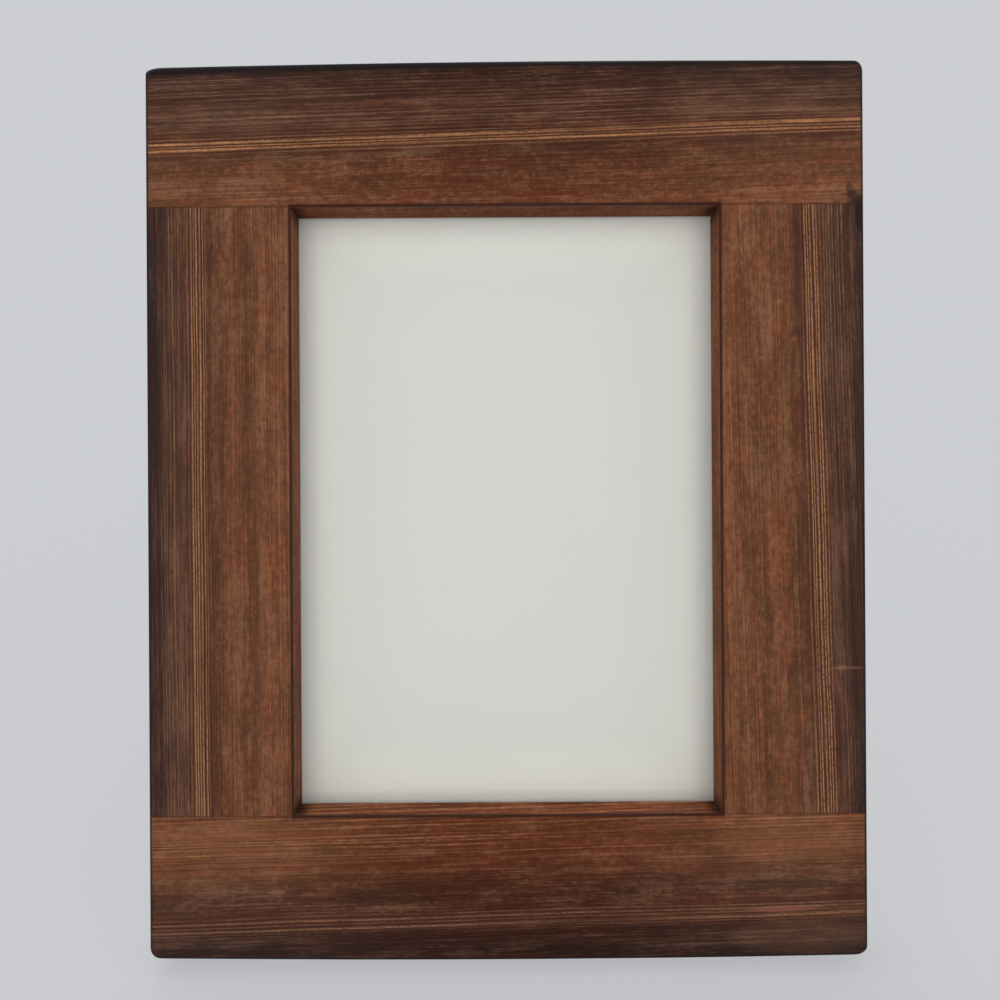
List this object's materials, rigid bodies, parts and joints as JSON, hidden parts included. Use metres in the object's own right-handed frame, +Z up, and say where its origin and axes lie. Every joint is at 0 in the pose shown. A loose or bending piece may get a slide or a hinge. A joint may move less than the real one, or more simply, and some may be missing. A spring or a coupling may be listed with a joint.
{
  "type": "wooden picture frame",
  "caption": "Wide flat frame of dark fine-grained softwood with half-lapped corners, deep glazed opening, hardboard back with turn buttons and a folding easel strut.",
  "frame": {"origin": "middle of the stand's footprint on the ground, with the frame leaning back on its open strut", "axes": "+Z up, the face looks towards -Y and a little up, +X to the right as seen from the front"},
  "size_m": [0.2022, 0.0886, 0.2499],
  "materials": {
    "oiled_softwood": "dark oiled softwood, satin, fine straight grain",
    "pale_wood": "bare turned pin, end grain flush",
    "glass": "clear float glass",
    "insert_paper": "blank matt paper",
    "filler_card": "grey-brown card",
    "hardboard": "brown pressed hardboard, smooth",
    "brass": "dull brass plate",
    "steel": "bright drawn wire",
    "bumper_rubber": "matt dark pad"
  },
  "bodies": {
    "frame": {"top_rail": "oiled_softwood", "bottom_rail": "oiled_softwood", "left_stile": "oiled_softwood", "right_stile": "oiled_softwood", "lap_pins": "pale_wood", "glass_pane": "glass", "picture_insert": "insert_paper", "filler_board": "filler_card", "back_board": "hardboard", "board_hinge_leaf": "brass", "hinge_pin": "steel", "board_leaf_rivets": "brass", "turn_button_screws": "brass", "portrait_hanger": "brass", "landscape_hanger": "brass", "hanger_nails": "steel", "wall_bumpers": "bumper_rubber"},
    "strut": {"easel_strut": "hardboard", "strut_hinge_leaf": "brass", "strut_leaf_rivets": "brass"},
    "upper_left_button": {"turn_button_upper_left": "brass"},
    "lower_left_button": {"turn_button_lower_left": "brass"},
    "upper_right_button": {"turn_button_upper_right": "brass"},
    "lower_right_button": {"turn_button_lower_right": "brass"}
  },
  "joints": [
    {"name": "strut_hinge", "type": "hinge", "parent": "frame", "child": "strut", "pos_m": [0, 0.01591, 0.15937], "axis": [1, 0, 0], "range_deg": [-23, 0]},
    {"name": "upper_left_turn", "type": "hinge", "parent": "frame", "child": "upper_left_button", "pos_m": [-0.07125, 0.0198, 0.18077], "axis": [0, 0.9703, -0.2419], "continuous": true},
    {"name": "lower_left_turn", "type": "hinge", "parent": "frame", "child": "lower_left_button", "pos_m": [-0.07125, -0.00923, 0.06433], "axis": [0, 0.9703, -0.2419], "continuous": true},
    {"name": "upper_right_turn", "type": "hinge", "parent": "frame", "child": "upper_right_button", "pos_m": [0.07125, 0.0198, 0.18077], "axis": [0, 0.9703, -0.2419], "continuous": true},
    {"name": "lower_right_turn", "type": "hinge", "parent": "frame", "child": "lower_right_button", "pos_m": [0.07125, -0.00923, 0.06433], "axis": [0, 0.9703, -0.2419], "continuous": true}
  ]
}
